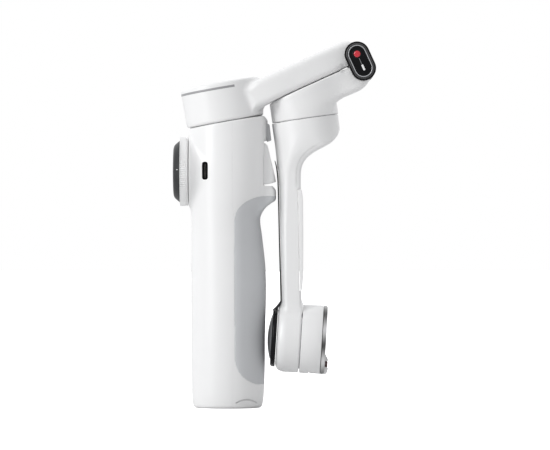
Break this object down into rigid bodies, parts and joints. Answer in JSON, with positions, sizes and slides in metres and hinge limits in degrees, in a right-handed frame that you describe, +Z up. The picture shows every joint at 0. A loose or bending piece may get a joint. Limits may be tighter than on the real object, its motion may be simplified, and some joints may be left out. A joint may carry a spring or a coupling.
{
  "type": "phone gimbal stabilizer",
  "caption": "Folded handheld phone stabilizer: grip handle with thumb wheel and trigger, folding arm and motor axes that end in a magnetic plate.",
  "frame": {"origin": "centre of the handle's base, on the flat end of the tripod hub's post", "axes": "+Z up along the handle, +X towards the folded arm, -X towards the thumb wheel, fold hinge along Y"},
  "size_m": [0.0904, 0.0351, 0.1632],
  "materials": {
    "white_shell": "satin moulded",
    "soft_grip": "matte soft touch",
    "dark_plastic": "fine matte",
    "grey_plastic": "satin",
    "black_gloss": "polished",
    "red_dot": "polished",
    "steel": "brushed",
    "magnet": "nickel plated",
    "copper": "enamelled wire",
    "board": "solder mask",
    "cell_wrap": "shrink sleeve",
    "gold_contact": "gold plated"
  },
  "bodies": {
    "handle": {"handle_left_shell": "white_shell", "handle_right_shell": "white_shell", "grip_pad": "soft_grip", "inner_frame": "dark_plastic", "battery_cell": "cell_wrap", "main_board": "board", "usb_socket": "steel", "rod_outer_tube": "steel", "trigger_switch": "black_gloss", "rest_bumper": "dark_plastic", "trigger_pin": "steel"},
    "trigger": {"trigger": "white_shell"},
    "power_button": {"power_button": "white_shell"},
    "thumb_wheel": {"thumb_wheel": "white_shell"},
    "touch_disc": {"touch_disc": "dark_plastic"},
    "tripod": {"tripod_hub": "dark_plastic", "leg_hinge_wire": "steel", "tripod_leg_1": "white_shell", "tripod_leg_2": "white_shell", "tripod_leg_3": "white_shell"},
    "rod_middle": {"rod_middle_tube": "steel"},
    "rod_inner": {"rod_carriage": "grey_plastic", "pan_coils": "copper", "pan_bearing": "steel"},
    "pan_head": {"pan_head_shell": "white_shell", "head_inlay_strip": "grey_plastic", "pan_rotor": "steel", "pan_magnet_ring": "magnet", "arm_1_shell": "white_shell", "arm_1_cover": "white_shell", "arm_1_cable": "dark_plastic"},
    "hinge_link": {"hinge_cap_front": "black_gloss", "hinge_cap_rear": "black_gloss", "cap_ring": "steel", "cap_dot": "red_dot", "cap_bar": "white_shell", "hinge_pin_upper": "steel", "hinge_pin_lower": "steel"},
    "arm_2": {"arm_2_shell": "white_shell", "roll_coils": "copper", "roll_bearing": "steel"},
    "arm_3": {"arm_3_shell": "white_shell", "arm_3_back_strip": "dark_plastic", "arm_3_cover": "white_shell", "roll_rotor": "steel", "roll_magnet_ring": "magnet", "tilt_coils": "copper", "tilt_bearing": "steel", "tilt_end_cap": "black_gloss", "tilt_dome": "dark_plastic"},
    "tilt_head": {"tilt_rotor_shell": "white_shell", "tilt_rotor": "steel", "tilt_magnet_ring": "magnet", "tilt_metal_ring": "steel", "mount_plate": "dark_plastic", "latch_block": "white_shell", "contact_pins": "gold_contact"}
  },
  "joints": [
    {"name": "trigger_pull", "type": "hinge", "parent": "handle", "child": "trigger", "pos_m": [0.0146, 0, 0.1162], "axis": [0, 1, 0], "range_deg": [0, 8]},
    {"name": "power_press", "type": "slide", "parent": "handle", "child": "power_button", "axis": [0, -1, 0], "range_m": [0, 0.0004]},
    {"name": "wheel_turn", "type": "hinge", "parent": "handle", "child": "thumb_wheel", "pos_m": [-0.019, 0, 0.1054], "axis": [-1, 0, 0], "continuous": true},
    {"name": "disc_press", "type": "slide", "parent": "handle", "child": "touch_disc", "axis": [1, 0, 0], "range_m": [0, 0.0003]},
    {"name": "foot_pull", "type": "slide", "parent": "handle", "child": "tripod", "axis": [0, 0, -1], "range_m": [0, 0.03]},
    {"name": "rod_slide", "type": "slide", "parent": "handle", "child": "rod_inner", "axis": [0, 0, 1], "range_m": [0, 0.04]},
    {"name": "rod_middle_slide", "type": "slide", "parent": "handle", "child": "rod_middle", "axis": [0, 0, 1], "range_m": [0, 0.02]},
    {"name": "pan", "type": "hinge", "parent": "rod_inner", "child": "pan_head", "pos_m": [-0.0011, 0, 0.1274], "axis": [-0.1702, 0, 0.9854], "range_deg": [-25, 25]},
    {"name": "fold_upper", "type": "hinge", "parent": "pan_head", "child": "hinge_link", "pos_m": [0.0574, 0, 0.1573], "axis": [0, -1, 0], "range_deg": [0, 115]},
    {"name": "fold_lower", "type": "hinge", "parent": "hinge_link", "child": "arm_2", "pos_m": [0.06024, 0, 0.15112], "axis": [0, -1, 0], "range_deg": [0, 115]},
    {"name": "roll", "type": "hinge", "parent": "arm_2", "child": "arm_3", "pos_m": [0.03455, 0, 0.1289], "axis": [-0.1426, 0, 0.9898], "range_deg": [-150, 150]},
    {"name": "tilt", "type": "hinge", "parent": "arm_3", "child": "tilt_head", "pos_m": [0.0317, 0, 0.0308], "axis": [0.998, 0, -0.0628], "range_deg": [-150, 150]}
  ],
  "couplings": [
    {"joint": "rod_middle_slide", "follows": "rod_slide", "ratio": 0.5},
    {"joint": "fold_lower", "follows": "fold_upper", "ratio": 1}
  ]
}
